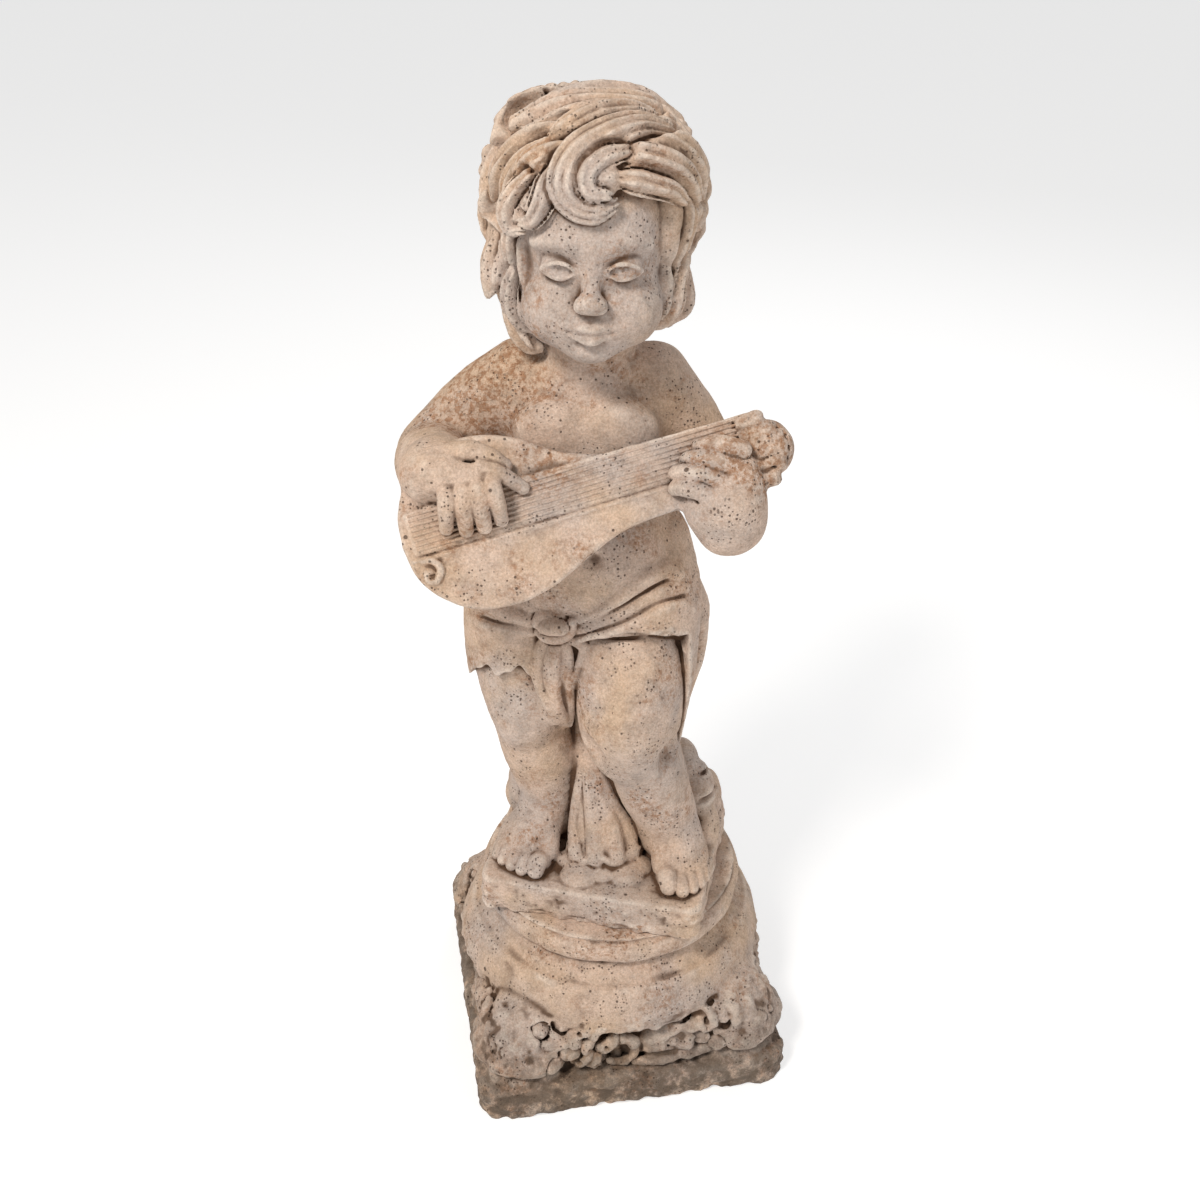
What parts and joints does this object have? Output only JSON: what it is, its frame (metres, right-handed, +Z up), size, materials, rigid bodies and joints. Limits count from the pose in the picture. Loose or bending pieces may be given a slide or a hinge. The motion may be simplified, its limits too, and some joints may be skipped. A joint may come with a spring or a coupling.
{
  "type": "garden statue",
  "caption": "Cast-stone garden statue of a curly-haired child playing a mandolin, on a separate moulded pedestal with dolphin heads at its corners.",
  "frame": {"origin": "centre of the pedestal's flat underside", "axes": "+Z up, X and Y along the sides of the pedestal's square foot; the statue faces -Y, turned about 11 degrees towards -X"},
  "size_m": [0.3211, 0.29, 0.8554],
  "materials": {
    "cast_stone": "matt weathered cast stone, warm beige, with dirt in its hollows"
  },
  "bodies": {
    "root": {"pedestal": "cast_stone", "mandolin_player": "cast_stone"}
  },
  "joints": []
}
